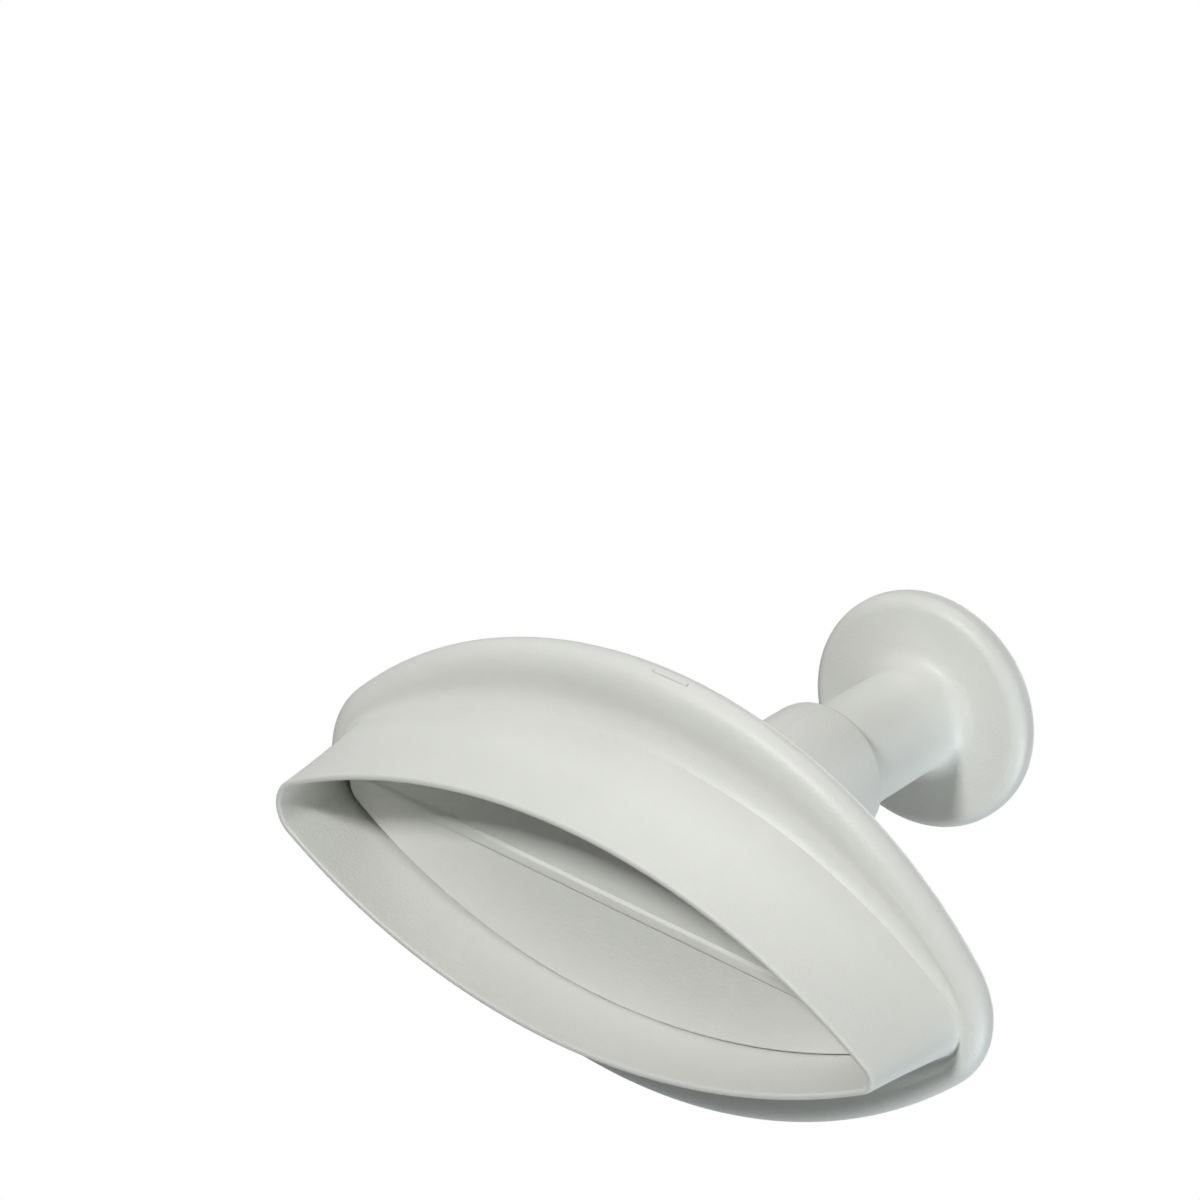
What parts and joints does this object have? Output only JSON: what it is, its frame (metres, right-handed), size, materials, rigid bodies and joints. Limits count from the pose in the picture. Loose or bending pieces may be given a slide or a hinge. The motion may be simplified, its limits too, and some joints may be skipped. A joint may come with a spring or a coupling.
{
  "type": "plunger cutter",
  "caption": "Leaf-shaped plunger cutter for rolled paste: cutting ring under a wide flange, guide sleeve, sprung thumb plunger and embossing plate.",
  "frame": {"origin": "centre of the flange's outline, on the plane of the cutting edge", "axes": "+Z along the plunger towards the knob, +X along the leaf towards its pointed tip"},
  "size_m": [0.0732, 0.042, 0.061],
  "materials": {
    "body": "semi-matt moulded",
    "plunger": "semi-matt moulded",
    "plate": "semi-matt moulded",
    "spring": "drawn wire"
  },
  "bodies": {
    "cutter": {"cutter_body": "body", "return_spring": "spring"},
    "press": {"plunger": "plunger", "embossing_plate": "plate"}
  },
  "joints": [
    {"name": "plunger_press", "type": "slide", "parent": "cutter", "child": "press", "axis": [0, 0, -1], "range_m": [0, 0.0072], "stiffness_N_per_m": 400, "springref_m": -0.008, "deforming": ["return_spring"]}
  ]
}
